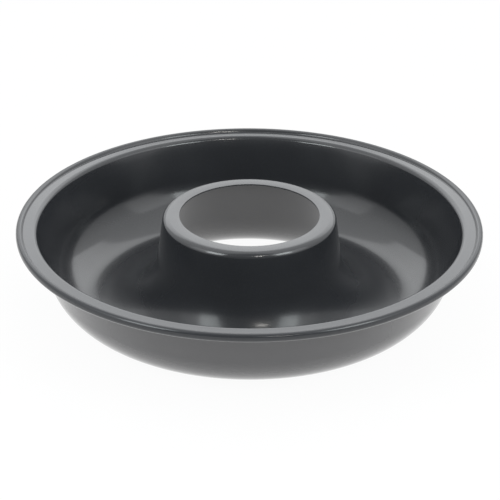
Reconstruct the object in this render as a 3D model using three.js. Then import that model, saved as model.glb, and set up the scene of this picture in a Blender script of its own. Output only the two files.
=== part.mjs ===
// Savarin mould: a ring cake tin drawn from one steel sheet. A round trough runs between a pierced
// central tube and a flared outer wall, and the flange ends in a bead rolled over a stiffening wire.
// The food side has a glossy non-stick coat and the outside has a satin one.
// Millimetres, +Z up. The origin is the centre of the flat ring that the mould stands on.
import * as THREE from 'three';

// Overall sizes
const rimDiameter = 240;
const rimHeight = 44.5;

// Sheet and coats
const sheetThickness = 0.6;
const foodCoatThickness = 0.05;
const outerCoatThickness = 0.05;
const coatClearance = 0.005;

// Central tube, which stands a little above the rim
const tubeRise = 4.2;
const holeDiameter = 72;
const tubeTopWidth = 5.4;
const shoulderRadius = 3.5;
const tubeDraft = THREE.MathUtils.degToRad(7.5);

// Trough: as round as fits between the tube and the wall, with a narrow flat ring to stand on
const standingRingWidth = 2;
const wallDraft = THREE.MathUtils.degToRad(14.5);

// Lip and flange: the flange falls slightly from the lip to the crease beside the bead
const lipDrop = 1.1;
const lipRadius = 2.5;
const flangeWidth = 7.5;
const flangeFall = THREE.MathUtils.degToRad(5);
const creaseRadius = 0.6;

// Bead: the sheet rolls over the wire, runs straight down and curls under it
const wireDiameter = 2;
const wireClearance = 0.1;
const beadDrop = 0.8;
const curlTurn = THREE.MathUtils.degToRad(175);

// Facets
const turnFacets = 40;
const wireFacets = 10;
const shoulderSteps = 3;
const innerTroughSteps = 5;
const outerTroughSteps = 4;
const lipSteps = 3;
const creaseSteps = 2;
const beadSteps = 4;

// Finishes
const bareSteel = { color: 0x8d8f92, roughness: 0.4, metalness: 1 };
const drawnWire = { color: 0x9a9c9e, roughness: 0.45, metalness: 1 };
const glossyCharcoal = { color: 0x2c2f31, roughness: 0.25, metalness: 0 };
const satinGrey = { color: 0x66676a, roughness: 0.5, metalness: 0 };

const quarterTurn = Math.PI / 2;

// Directions in the half plane of radius and height: a unit vector from its angle, and the angle of a
// vector, counted within half a turn of straight up
const direction = (angle) => new THREE.Vector2(Math.cos(angle), Math.sin(angle));
const heading = (vector) => quarterTurn - Math.atan2(vector.x, vector.y);

// A stretch of bent sheet, as points that carry the direction of the food side. side is 1 where the
// food side lies outside the bend's circle, and -1 where it lies inside.
function bend(centre, radius, side, fromNormal, toNormal, steps) {
  const stretch = [];
  for (let step = 0; step <= steps; step += 1) {
    const normal = direction(THREE.MathUtils.lerp(fromNormal, toNormal, step / steps));
    stretch.push({ point: centre.clone().addScaledVector(normal, side * radius), normal });
  }
  return stretch;
}

// Directions of the food side along the straight stretches
const tubeNormal = tubeDraft;
const wallNormal = Math.PI - wallDraft;
const flangeNormal = quarterTurn - flangeFall;

// Circles that the food side of the sheet follows at the tube's shoulder and round the rim
const foodCoatDepth = foodCoatThickness + coatClearance;
const standingHeight = outerCoatThickness + coatClearance + sheetThickness;
const holeEdge = new THREE.Vector2(holeDiameter / 2 + foodCoatDepth, rimHeight + tubeRise - foodCoatDepth);
const shoulderCentre = new THREE.Vector2(holeEdge.x + tubeTopWidth, holeEdge.y - shoulderRadius);
const beadRadius = wireDiameter / 2 + wireClearance + sheetThickness;
const beadCentre = new THREE.Vector2(rimDiameter / 2, rimHeight).subScalar(foodCoatDepth + beadRadius);
const curlCentre = new THREE.Vector2(beadCentre.x, beadCentre.y - beadDrop);
const lipCentre = new THREE.Vector2(
  beadCentre.x - beadRadius - flangeWidth + lipRadius,
  rimHeight - lipDrop - foodCoatDepth - lipRadius,
);

// Where the straight wall beside a bend would meet the standing height, and how far in from there the
// trough's circle lies for each millimetre of its radius
function wallFoot(centre, radius, normal) {
  const foodSide = direction(normal);
  const onWall = centre.clone().addScaledVector(foodSide, radius);
  return onWall.x + ((onWall.y - standingHeight) * foodSide.y) / foodSide.x;
}
const circleInset = (normal) => (1 - Math.sin(normal)) / Math.abs(Math.cos(normal));

// The trough's two circles touch the tube or the wall, and the standing ring between them
const tubeFoot = wallFoot(shoulderCentre, shoulderRadius, tubeNormal);
const outerFoot = wallFoot(lipCentre, lipRadius, wallNormal);
const troughRadius =
  (outerFoot - tubeFoot - standingRingWidth) / (circleInset(tubeNormal) + circleInset(wallNormal));
const troughHeight = standingHeight + troughRadius;
const innerTroughCentre = new THREE.Vector2(tubeFoot + circleInset(tubeNormal) * troughRadius, troughHeight);
const outerTroughCentre = new THREE.Vector2(innerTroughCentre.x + standingRingWidth, troughHeight);

// The crease touches the flange's line and the bead's circle
const flangeUp = direction(flangeNormal);
const flangeOut = direction(flangeNormal - quarterTurn);
const creaseLine = lipCentre.clone().addScaledVector(flangeUp, lipRadius + creaseRadius);
const beadFromLine = beadCentre.clone().sub(creaseLine);
const creaseReach = Math.sqrt((beadRadius + creaseRadius) ** 2 - beadFromLine.dot(flangeUp) ** 2);
const creaseCentre = creaseLine.addScaledVector(flangeOut, beadFromLine.dot(flangeOut) - creaseReach);
const creaseNormal = heading(creaseCentre.clone().sub(beadCentre));

// The sheet from the hole to the flange, and the rim that follows it
const panLine = [
  { point: holeEdge, normal: direction(quarterTurn) },
  ...bend(shoulderCentre, shoulderRadius, 1, quarterTurn, tubeNormal, shoulderSteps),
  ...bend(innerTroughCentre, troughRadius, -1, tubeNormal, quarterTurn, innerTroughSteps),
  ...bend(outerTroughCentre, troughRadius, -1, quarterTurn, wallNormal, outerTroughSteps),
  ...bend(lipCentre, lipRadius, 1, wallNormal, flangeNormal, lipSteps),
];
const creaseBend = bend(creaseCentre, creaseRadius, -1, flangeNormal, creaseNormal, creaseSteps);
const rimLine = [
  ...creaseBend,
  ...bend(beadCentre, beadRadius, 1, creaseNormal, 0, beadSteps).slice(1),
  ...bend(curlCentre, beadRadius, 1, 0, -curlTurn, beadSteps),
];
const sheetLine = [...panLine, ...rimLine];

// The food coat turns down over the cut edge of the hole, with a mitred corner
const cutFoot = {
  point: new THREE.Vector2(holeEdge.x, holeEdge.y - sheetThickness),
  normal: direction(Math.PI),
};
const cutCorner = { point: holeEdge, normal: new THREE.Vector2(-1, 1) };
const foodCoatLine = [cutFoot, cutCorner, ...sheetLine.slice(1)];
const outerCoatLine = [...panLine, creaseBend[0]];

const offsetPoint = ({ point, normal }, distance) => point.clone().addScaledVector(normal, distance);

// Turns a closed profile, given anticlockwise, round the mould's axis
function turned(profile) {
  const geometry = new THREE.LatheGeometry([...profile, profile[0]], turnFacets);
  return geometry.rotateX(quarterTurn);
}

// A layer that follows a line of the sheet between two distances from the steel's food side
function layer(line, lower, upper) {
  const lowerSide = line.map((station) => offsetPoint(station, lower));
  const upperSide = line.map((station) => offsetPoint(station, upper)).reverse();
  return turned([...lowerSide, ...upperSide]);
}

function wireRing(centre, diameter) {
  const section = [];
  for (let facet = 0; facet < wireFacets; facet += 1) {
    const spoke = direction((facet / wireFacets) * 2 * Math.PI);
    section.push(centre.clone().addScaledVector(spoke, diameter / 2));
  }
  return turned(section);
}

function piece(name, geometry, finish) {
  const mesh = new THREE.Mesh(geometry, new THREE.MeshStandardMaterial(finish));
  mesh.name = name;
  return mesh;
}

const savarinMould = new THREE.Group();
savarinMould.name = 'savarin_mould';
savarinMould.add(
  piece('steel_shell', layer(sheetLine, -sheetThickness, 0), bareSteel),
  piece('rim_wire', wireRing(curlCentre, wireDiameter), drawnWire),
  piece('food_side_coat', layer(foodCoatLine, coatClearance, foodCoatDepth), glossyCharcoal),
  piece('outer_coat', layer(outerCoatLine, -standingHeight, -sheetThickness - coatClearance), satinGrey),
);

export default savarinMould;
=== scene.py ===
"""A savarin mould: a ring cake tin pressed from one steel sheet. A glossy non-stick coat covers the food
side, a satin coat covers the outside, and the rim is rolled over a wire.
Metres, +Z up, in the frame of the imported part."""

import math
from typing import NamedTuple

import bmesh
import bpy
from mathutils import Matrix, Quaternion, Vector


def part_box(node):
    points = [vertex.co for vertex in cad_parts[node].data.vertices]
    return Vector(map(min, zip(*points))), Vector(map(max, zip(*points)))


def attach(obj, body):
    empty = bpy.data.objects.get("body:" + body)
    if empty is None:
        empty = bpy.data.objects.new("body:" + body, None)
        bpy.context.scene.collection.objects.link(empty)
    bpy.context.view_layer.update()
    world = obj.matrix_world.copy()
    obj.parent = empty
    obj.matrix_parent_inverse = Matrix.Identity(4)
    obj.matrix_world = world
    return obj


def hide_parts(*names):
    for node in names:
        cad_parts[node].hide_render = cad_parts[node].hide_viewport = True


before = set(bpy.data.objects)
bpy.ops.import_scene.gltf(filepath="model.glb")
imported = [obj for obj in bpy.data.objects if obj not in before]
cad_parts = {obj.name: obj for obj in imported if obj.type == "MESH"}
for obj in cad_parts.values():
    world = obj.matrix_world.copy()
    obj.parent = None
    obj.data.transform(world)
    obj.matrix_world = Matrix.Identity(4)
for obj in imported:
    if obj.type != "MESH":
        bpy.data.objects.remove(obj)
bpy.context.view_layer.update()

MM = 0.001
QUARTER_TURN = math.pi / 2

# Sheet and coats
SHEET = 0.6 * MM
FOOD_COAT = 0.05 * MM
OUTER_COAT = 0.05 * MM
COAT_CLEARANCE = 0.005 * MM
FOOD_DEPTH = FOOD_COAT + COAT_CLEARANCE
STANDING_HEIGHT = OUTER_COAT + COAT_CLEARANCE + SHEET

# Central tube
TUBE_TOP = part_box("food_side_coat")[1].z
HOLE_RADIUS = 36 * MM
HOLE_EDGE_ROUND = 0.2 * MM
TUBE_TOP_WIDTH = 5.4 * MM
SHOULDER_RADIUS = 3.5 * MM
TUBE_DRAFT = math.radians(7.5)

# Trough
STANDING_RING_WIDTH = 2 * MM
WALL_DRAFT = math.radians(14.5)

# Rim: lip, flange, crease and the bead over its wire
RIM_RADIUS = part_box("food_side_coat")[1].x
WIRE_HEIGHT = (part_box("rim_wire")[0].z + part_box("rim_wire")[1].z) / 2
WIRE_RADIUS = 1 * MM
WIRE_CLEARANCE = 0.1 * MM
BEAD_DROP = 0.8 * MM
CURL_TURN = math.radians(175)
LIP_DROP = 1.1 * MM
LIP_RADIUS = 2.5 * MM
FLANGE_WIDTH = 7.5 * MM
FLANGE_FALL = math.radians(5)
CREASE_RADIUS = 0.6 * MM

# Facets, and the limits for merging points and for sharp edges
TURN_FACETS = 180
WIRE_FACETS = 24
MERGE_DISTANCE = 0.001 * MM
SHARP_ANGLE = math.radians(40)


# The sheet's line, in the half plane of radius (X) and height (Z)


def direction(angle):
    return Vector((math.cos(angle), 0, math.sin(angle)))


def place(radius, height):
    return Vector((radius, 0, height))


class Bend(NamedTuple):
    """A round stretch of the sheet. radius is that of the steel's food side, and side is 1 where the food
    side lies outside the circle and -1 where it lies inside. start and end are the directions of the
    food side's normal."""

    centre: Vector
    radius: float
    side: int
    start: float
    end: float
    steps: int

    def point(self, normal, offset):
        """The point with that normal, at an offset along it from the steel's food side."""
        return self.centre + direction(normal) * (self.side * self.radius + offset)


def wall_foot(centre, radius, normal):
    """The radius at which the straight wall beside a bend would meet the standing height."""
    facing = direction(normal)
    on_wall = centre + facing * radius
    return on_wall.x + (on_wall.z - STANDING_HEIGHT) * facing.z / facing.x


def circle_inset(normal):
    """How far in from the wall's foot the trough's circle lies, for each metre of its radius."""
    return (1 - math.sin(normal)) / abs(math.cos(normal))


def sheet_bends():
    """The sheet's bends from the hole's cut edge to the end of the curl, by name and in order."""
    tube_normal = TUBE_DRAFT
    wall_normal = math.pi - WALL_DRAFT
    flange_normal = QUARTER_TURN - FLANGE_FALL

    hole_edge = place(HOLE_RADIUS + FOOD_DEPTH, TUBE_TOP - FOOD_DEPTH)
    edge_centre = hole_edge + place(HOLE_EDGE_ROUND, -HOLE_EDGE_ROUND)
    shoulder_centre = hole_edge + place(TUBE_TOP_WIDTH, -SHOULDER_RADIUS)

    bead_radius = WIRE_RADIUS + WIRE_CLEARANCE + SHEET
    curl_centre = place(RIM_RADIUS - FOOD_DEPTH - bead_radius, WIRE_HEIGHT)
    bead_centre = curl_centre + place(0, BEAD_DROP)
    flange_height = bead_centre.z + bead_radius - LIP_DROP
    flange_start = bead_centre.x - bead_radius - FLANGE_WIDTH
    lip_centre = place(flange_start + LIP_RADIUS, flange_height - LIP_RADIUS)

    # The trough's circles touch the tube or the wall, and the standing ring between them
    tube_foot = wall_foot(shoulder_centre, SHOULDER_RADIUS, tube_normal)
    outer_foot = wall_foot(lip_centre, LIP_RADIUS, wall_normal)
    insets = circle_inset(tube_normal) + circle_inset(wall_normal)
    trough_radius = (outer_foot - tube_foot - STANDING_RING_WIDTH) / insets
    ring_start = tube_foot + circle_inset(tube_normal) * trough_radius
    inner_trough = place(ring_start, STANDING_HEIGHT + trough_radius)
    outer_trough = inner_trough + place(STANDING_RING_WIDTH, 0)

    # The crease touches the flange's line and the bead's circle
    flange_up = direction(flange_normal)
    flange_out = direction(flange_normal - QUARTER_TURN)
    crease_line = lip_centre + flange_up * (LIP_RADIUS + CREASE_RADIUS)
    to_bead = bead_centre - crease_line
    crease_reach = math.sqrt((bead_radius + CREASE_RADIUS) ** 2 - to_bead.dot(flange_up) ** 2)
    crease_centre = crease_line + flange_out * (to_bead.dot(flange_out) - crease_reach)
    from_bead = crease_centre - bead_centre
    crease_normal = QUARTER_TURN - math.atan2(from_bead.x, from_bead.z)

    return {
        "hole_edge": Bend(edge_centre, HOLE_EDGE_ROUND, 1, math.pi, QUARTER_TURN, steps=5),
        "shoulder": Bend(shoulder_centre, SHOULDER_RADIUS, 1, QUARTER_TURN, tube_normal, steps=18),
        "inner_trough": Bend(inner_trough, trough_radius, -1, tube_normal, QUARTER_TURN, steps=30),
        "outer_trough": Bend(outer_trough, trough_radius, -1, QUARTER_TURN, wall_normal, steps=28),
        "lip": Bend(lip_centre, LIP_RADIUS, 1, wall_normal, flange_normal, steps=16),
        "crease": Bend(crease_centre, CREASE_RADIUS, -1, flange_normal, crease_normal, steps=8),
        "bead": Bend(bead_centre, bead_radius, 1, crease_normal, 0, steps=16),
        "curl": Bend(curl_centre, bead_radius, 1, 0, -CURL_TURN, steps=20),
    }


# Pieces


class Section:
    """Draws the closed section of a piece with a tip that runs straight or swings round a centre."""

    def __init__(self, start):
        self.mesh = bmesh.new()
        self.first = self.tip = self.mesh.verts.new(start)

    def straight_to(self, point):
        drawn = bmesh.ops.extrude_vert_indiv(self.mesh, verts=[self.tip])
        self.tip = drawn["verts"][0]
        self.tip.co = point

    def swing(self, centre, turn, steps):
        """Turns are counted from the way out towards the way up."""
        drawn = bmesh.ops.spin(
            self.mesh, geom=[self.tip], cent=centre, axis=(0, -1, 0), angle=turn, steps=steps
        )
        self.tip = drawn["geom_last"][0]

    def along(self, bends, offset):
        for bend in bends:
            self.straight_to(bend.point(bend.start, offset))
            self.swing(bend.centre, bend.end - bend.start, bend.steps)

    def back_along(self, bends, offset):
        for bend in reversed(bends):
            self.straight_to(bend.point(bend.end, offset))
            self.swing(bend.centre, bend.start - bend.end, bend.steps)

    def turned(self, name):
        """Closes the section, turns it round the mould's axis and returns the finished piece."""
        self.straight_to(self.first.co)
        bmesh.ops.remove_doubles(self.mesh, verts=self.mesh.verts, dist=MERGE_DISTANCE)
        bmesh.ops.spin(
            self.mesh,
            geom=self.mesh.verts[:] + self.mesh.edges[:],
            cent=(0, 0, 0),
            axis=(0, 0, 1),
            angle=math.tau,
            steps=TURN_FACETS,
            use_merge=True,
        )
        bmesh.ops.remove_doubles(self.mesh, verts=self.mesh.verts, dist=MERGE_DISTANCE)
        bmesh.ops.recalc_face_normals(self.mesh, faces=self.mesh.faces)
        data = bpy.data.meshes.new(name)
        self.mesh.to_mesh(data)
        self.mesh.free()
        data.shade_smooth()
        data.set_sharp_from_angle(angle=SHARP_ANGLE)
        piece = bpy.data.objects.new(name, data)
        bpy.context.scene.collection.objects.link(piece)
        return piece


# Lines of the sheet: the pan, the whole sheet, and the whole sheet with the rounded edge of the hole
BENDS = sheet_bends()
PAN = [BENDS[name] for name in ("shoulder", "inner_trough", "outer_trough", "lip")]
SHEET_LINE = PAN + [BENDS[name] for name in ("crease", "bead", "curl")]
EDGED_LINE = [BENDS["hole_edge"]] + SHEET_LINE

# Lower end of the cut edge round the hole
CUT_FOOT = place(HOLE_RADIUS + FOOD_DEPTH, TUBE_TOP - FOOD_DEPTH - SHEET)


def steel_shell():
    section = Section(CUT_FOOT)
    section.along(SHEET_LINE, -SHEET)
    section.back_along(EDGED_LINE, 0)
    return section.turned("steel_pressing")


def food_side_coat():
    section = Section(CUT_FOOT - place(COAT_CLEARANCE, 0))
    section.along(EDGED_LINE, COAT_CLEARANCE)
    section.back_along(EDGED_LINE, FOOD_DEPTH)
    section.straight_to(CUT_FOOT - place(FOOD_DEPTH, 0))
    return section.turned("food_side_gloss")


def outer_coat():
    crease = BENDS["crease"]
    section = Section(CUT_FOOT - place(0, STANDING_HEIGHT - SHEET))
    section.along(PAN, -STANDING_HEIGHT)
    section.straight_to(crease.point(crease.start, -STANDING_HEIGHT))
    section.straight_to(crease.point(crease.start, -SHEET - COAT_CLEARANCE))
    section.back_along(PAN, -SHEET - COAT_CLEARANCE)
    section.straight_to(CUT_FOOT - place(0, COAT_CLEARANCE))
    return section.turned("outer_satin")


def rim_wire():
    centre = BENDS["curl"].centre
    section = Section(centre + place(WIRE_RADIUS, 0))
    section.swing(centre, math.tau, WIRE_FACETS)
    return section.turned("bead_wire")


# Finishes


class Value:
    """A number that changes over a surface. Arithmetic on it adds Math nodes."""

    def __init__(self, nodes, socket):
        self.nodes = nodes
        self.socket = socket

    def math(self, operation, first, second):
        return self.nodes.add("ShaderNodeMath", {"operation": operation}, {0: first, 1: second})

    def __add__(self, other):
        return self.math("ADD", self, other)

    def __radd__(self, other):
        return self.math("ADD", other, self)

    def __sub__(self, other):
        return self.math("SUBTRACT", self, other)

    def __rsub__(self, other):
        return self.math("SUBTRACT", other, self)

    def __mul__(self, other):
        return self.math("MULTIPLY", self, other)

    def __rmul__(self, other):
        return self.math("MULTIPLY", other, self)

    def larger(self, other):
        return self.math("MAXIMUM", self, other)


class Nodes:
    """A node tree that is written as expressions."""

    def __init__(self, tree):
        self.tree = tree
        tree.nodes.clear()

    def add(self, kind, settings=None, inputs=None, output=0):
        """Adds a node of that kind, with its settings first and then its inputs' values or links."""
        node = self.tree.nodes.new(kind)
        for name, value in (settings or {}).items():
            setattr(node, name, value)
        for name, value in (inputs or {}).items():
            if isinstance(value, Value):
                self.tree.links.new(value.socket, node.inputs[name])
            else:
                node.inputs[name].default_value = value
        return Value(self, node.outputs[output]) if node.outputs else None

    def place(self):
        return self.add("ShaderNodeTexCoord", output="Object")

    def height(self):
        return self.add("ShaderNodeSeparateXYZ", inputs={0: self.place()}, output="Z")

    def radius(self):
        """Distance from the mould's axis."""
        flattening = {0: self.place(), 1: (1, 1, 0)}
        level = self.add("ShaderNodeVectorMath", {"operation": "MULTIPLY"}, flattening)
        return self.add("ShaderNodeVectorMath", {"operation": "LENGTH"}, {0: level}, output="Value")

    def noise(self, size, detail=2.0, roughness=0.5):
        """Soft noise from 0 to 1, whose patches are about size across."""
        inputs = {"Vector": self.place(), "Scale": 1 / size, "Detail": detail, "Roughness": roughness}
        return self.add("ShaderNodeTexNoise", inputs=inputs)

    def ramp(self, value, low, high):
        """0 below low, 1 above high and smooth between them."""
        settings = {"interpolation_type": "SMOOTHSTEP"}
        inputs = {"Value": value, "From Min": low, "From Max": high}
        return self.add("ShaderNodeMapRange", settings, inputs)

    def blend(self, share, first, second):
        """first where share is 0 and second where it is 1. A Mix node takes colours at its inputs 6
        and 7, and gives one at its output 2."""
        inputs = {"Factor": share, 6: (*first, 1), 7: (*second, 1)}
        return self.add("ShaderNodeMix", {"data_type": "RGBA"}, inputs, output=2)

    def bump(self, height, depth, strength):
        inputs = {"Height": height, "Distance": depth, "Strength": strength}
        return self.add("ShaderNodeBump", inputs=inputs)


def finish(name, describe):
    """A material whose Principled shader takes what describe returns for its nodes."""
    material = bpy.data.materials.new(name)
    material.use_nodes = True
    nodes = Nodes(material.node_tree)
    shader = nodes.add("ShaderNodeBsdfPrincipled", inputs=describe(nodes))
    nodes.add("ShaderNodeOutputMaterial", inputs={"Surface": shader})
    return material


# Darkest and palest tone of each finish
CHARCOAL_TONES = (0.0193, 0.0207, 0.0234), (0.0334, 0.0358, 0.0404)
SATIN_TONES = (0.0515, 0.0505, 0.0525), (0.0745, 0.0731, 0.0760)
STEEL_TONES = (0.36, 0.36, 0.37), (0.52, 0.52, 0.53)
WIRE_TONES = (0.42, 0.42, 0.43), (0.58, 0.58, 0.58)

# Where the glossy coat changes: the radii or heights between which each change is made
FOOT_START_RADII = 54 * MM, 62 * MM
FOOT_END_RADII = 73 * MM, 88 * MM
SHOULDER_HEIGHTS = 44 * MM, 48.5 * MM
WALL_RADII = 97 * MM, 105 * MM
LIP_HEIGHTS = 37 * MM, 42 * MM
BEAD_RADII = 117.4 * MM, 118.4 * MM
CURL_HEIGHTS = 41 * MM, 42.4 * MM

FLAKE_LEVELS = 0.45, 0.75
STEEP_THINNING = 0.85
TUBE_DULLING = 0.06


def glossy_charcoal(nodes):
    """Glossy non-stick: charcoal with fine flake, a slightly orange-peeled skin and a clear top. The
    clear top is thinner on the steep sides, and the tube is duller, most of all at its foot."""
    cloud = nodes.noise(38 * MM)
    flake = nodes.ramp(nodes.noise(0.5 * MM, detail=1), *FLAKE_LEVELS)
    peel = nodes.noise(2.2 * MM, detail=1)
    tone = 0.7 * cloud + 0.3 * flake
    clear_top = 0.75 - 0.10 * nodes.noise(16 * MM)

    radius = nodes.radius()
    height = nodes.height()
    near_tube = 1 - nodes.ramp(radius, *FOOT_END_RADII)
    tube_side = near_tube * (1 - nodes.ramp(height, *SHOULDER_HEIGHTS))
    tube_foot = near_tube * nodes.ramp(radius, *FOOT_START_RADII)
    wall = nodes.ramp(radius, *WALL_RADII) * (1 - nodes.ramp(height, *LIP_HEIGHTS))
    bead_side = nodes.ramp(radius, *BEAD_RADII) * nodes.ramp(height, *CURL_HEIGHTS)
    steep = tube_side + wall + bead_side
    return {
        "Base Color": nodes.blend(tone, *CHARCOAL_TONES),
        "Roughness": 0.16 + 0.06 * nodes.noise(9 * MM) + TUBE_DULLING * (tube_side + tube_foot),
        "IOR": 1.5,
        "Coat Weight": clear_top * (1 - STEEP_THINNING * steep),
        "Coat Roughness": 0.10,
        "Coat IOR": 1.6,
        "Normal": nodes.bump(peel, 0.02 * MM, 0.4),
    }


def satin_grey(nodes):
    """Satin grey lacquer with a fine tooth and a thin clear top."""
    cloud = nodes.noise(30 * MM)
    tooth = nodes.noise(0.6 * MM, detail=3)
    tone = 0.6 * cloud + 0.4 * tooth
    return {
        "Base Color": nodes.blend(tone, *SATIN_TONES),
        "Roughness": 0.09 + 0.06 * nodes.noise(6 * MM),
        "IOR": 1.6,
        "Coat Weight": 0.5,
        "Coat Roughness": 0.06,
        "Normal": nodes.bump(tooth, 0.03 * MM, 0.35),
    }


def bare_steel(nodes):
    """Cold-rolled steel, as it shows at the sheet's cut edges."""
    grain = nodes.noise(0.8 * MM, detail=4)
    return {
        "Base Color": nodes.blend(grain, *STEEL_TONES),
        "Metallic": 1.0,
        "Roughness": 0.32 + 0.16 * grain,
        "Normal": nodes.bump(grain, 0.02 * MM, 0.4),
    }


def drawn_wire(nodes):
    """Bright drawn wire."""
    grain = nodes.noise(1.2 * MM, detail=4)
    return {
        "Base Color": nodes.blend(grain, *WIRE_TONES),
        "Metallic": 1.0,
        "Roughness": 0.28 + 0.14 * grain,
        "Normal": nodes.bump(grain, 0.01 * MM, 0.4),
    }


def dress(piece, node, material):
    piece.data.materials.append(material)
    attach(piece, "root")
    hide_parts(node)


dress(steel_shell(), "steel_shell", finish("bare_steel", bare_steel))
dress(rim_wire(), "rim_wire", finish("drawn_wire", drawn_wire))
dress(food_side_coat(), "food_side_coat", finish("glossy_charcoal", glossy_charcoal))
dress(outer_coat(), "outer_coat", finish("satin_grey", satin_grey))


# Floor: most of its white is a glow, and the rest is paint that takes the mould's shadow

FLOOR_RADIUS = 8.0
FLOOR_FACETS = 96
FLOOR_GLOW_SHARE = 0.95
FLOOR_PAINT = (0.92, 0.92, 0.92, 1)


def seen_directly(nodes):
    """1 for rays from the camera and from gloss or glass, and 0 for diffuse light."""
    camera = nodes.add("ShaderNodeLightPath", output="Is Camera Ray")
    glossy = nodes.add("ShaderNodeLightPath", output="Is Glossy Ray")
    through = nodes.add("ShaderNodeLightPath", output="Is Transmission Ray")
    return camera.larger(glossy).larger(through)


def white_floor():
    mesh = bmesh.new()
    bmesh.ops.create_circle(mesh, cap_ends=True, radius=FLOOR_RADIUS, segments=FLOOR_FACETS)
    data = bpy.data.meshes.new("floor")
    mesh.to_mesh(data)
    mesh.free()
    floor = bpy.data.objects.new("floor", data)
    bpy.context.scene.collection.objects.link(floor)

    material = bpy.data.materials.new("white_floor")
    material.use_nodes = True
    nodes = Nodes(material.node_tree)
    paint = nodes.add("ShaderNodeBsdfDiffuse", inputs={"Color": FLOOR_PAINT})
    glow = nodes.add("ShaderNodeEmission", inputs={"Color": (1, 1, 1, 1), "Strength": 1.0})
    share = FLOOR_GLOW_SHARE * seen_directly(nodes)
    mixed = nodes.add("ShaderNodeMixShader", inputs={0: share, 1: paint, 2: glow})
    nodes.add("ShaderNodeOutputMaterial", inputs={"Surface": mixed})
    data.materials.append(material)


# World and lamps

WHITE = (1, 1, 1)
COOL_WHITE = (0.968, 0.984, 1.0)
PALE_BLUE = (0.93, 0.99, 1.0)
WARM_WHITE = (1.0, 0.97, 0.92)

WORLD_HORIZON = 0.76
WORLD_RISE = 0.50
WORLD_FRONT_SHARE = 0.35
WORLD_FRONT_EDGE = -0.2, 0.2


def studio_world():
    """Pale surroundings that brighten upwards, dim in front of the mould and white to the camera. The dim
    front is about a quarter of the way round."""
    world = bpy.data.worlds.new("studio")
    world.use_nodes = True
    nodes = Nodes(world.node_tree)
    ray = nodes.add("ShaderNodeTexCoord", output="Generated")
    side = nodes.add("ShaderNodeSeparateXYZ", inputs={0: ray}, output="X")
    back = nodes.add("ShaderNodeSeparateXYZ", inputs={0: ray}, output="Y")
    up = nodes.add("ShaderNodeSeparateXYZ", inputs={0: ray}, output="Z")
    front = 0 - back - side.larger(0 - side)
    share = 1 - (1 - WORLD_FRONT_SHARE) * nodes.ramp(front, *WORLD_FRONT_EDGE)
    camera = nodes.add("ShaderNodeLightPath", output="Is Camera Ray")
    strength = camera.larger((WORLD_HORIZON + WORLD_RISE * up) * share)
    colour = nodes.blend(camera, COOL_WHITE, WHITE)
    background = nodes.add("ShaderNodeBackground", inputs={"Color": colour, "Strength": strength})
    nodes.add("ShaderNodeOutputWorld", inputs={"Surface": background})
    bpy.context.scene.world = world


def softbox(name, azimuth, elevation, distance, width, height, radiance, tint=COOL_WHITE):
    """A rectangular lamp that faces the mould and that the camera doesn't see. Azimuth 0 is behind the
    mould and 90 to its right."""
    data = bpy.data.lights.new(name, "AREA")
    data.shape = "RECTANGLE"
    data.size = width
    data.size_y = height
    data.energy = radiance * math.pi * width * height
    data.color = tint
    lamp = bpy.data.objects.new(name, data)
    across = math.radians(azimuth)
    up = math.radians(elevation)
    out = Vector((math.sin(across) * math.cos(up), math.cos(across) * math.cos(up), math.sin(up)))
    lamp.location = out * distance
    lamp.rotation_mode = "QUATERNION"
    lamp.rotation_quaternion = (-out).to_track_quat("-Z", "Y")
    lamp.visible_camera = False
    bpy.context.scene.collection.objects.link(lamp)


def softbox_pair(name, azimuth, **box):
    """The same lamp on the left and on the right."""
    softbox(f"{name}_left", -azimuth, **box)
    softbox(f"{name}_right", azimuth, **box)


white_floor()
studio_world()
softbox("back_panel", 0, elevation=37, distance=1.5, width=2.7, height=0.95, radiance=0.80)
softbox_pair("side", 113, elevation=29, distance=1.5, width=0.65, height=0.8, radiance=0.58)
softbox_pair(
    "front", 136, elevation=35, distance=0.385, width=0.12, height=0.15, radiance=4.3, tint=PALE_BLUE
)
softbox(
    "front_lamp", 165, elevation=40, distance=1.4, width=0.24, height=0.07, radiance=22.0, tint=WARM_WHITE
)

# Camera, with its sensor and lens in millimetres

CAMERA_ELEVATION = math.radians(27.1)
CAMERA_DISTANCE = 1.120
CAMERA_ROLL = math.radians(0.229)
CAMERA_AIM = Vector((0.35 * MM, 0, 28 * MM))
FOCAL_LENGTH_PIXELS = 2158
IMAGE_PIXELS = 500
SENSOR_WIDTH = 36


def add_camera():
    data = bpy.data.cameras.new("camera")
    data.sensor_width = SENSOR_WIDTH
    data.lens = FOCAL_LENGTH_PIXELS / IMAGE_PIXELS * SENSOR_WIDTH
    viewer = bpy.data.objects.new("camera", data)
    back = Vector((0, -math.cos(CAMERA_ELEVATION), math.sin(CAMERA_ELEVATION)))
    viewer.location = CAMERA_AIM + back * CAMERA_DISTANCE
    viewer.rotation_mode = "QUATERNION"
    upright = (-back).to_track_quat("-Z", "Y")
    viewer.rotation_quaternion = upright @ Quaternion((0, 0, 1), CAMERA_ROLL)
    bpy.context.scene.collection.objects.link(viewer)
    bpy.context.scene.camera = viewer


add_camera()
bpy.context.scene.view_settings.view_transform = "Standard"
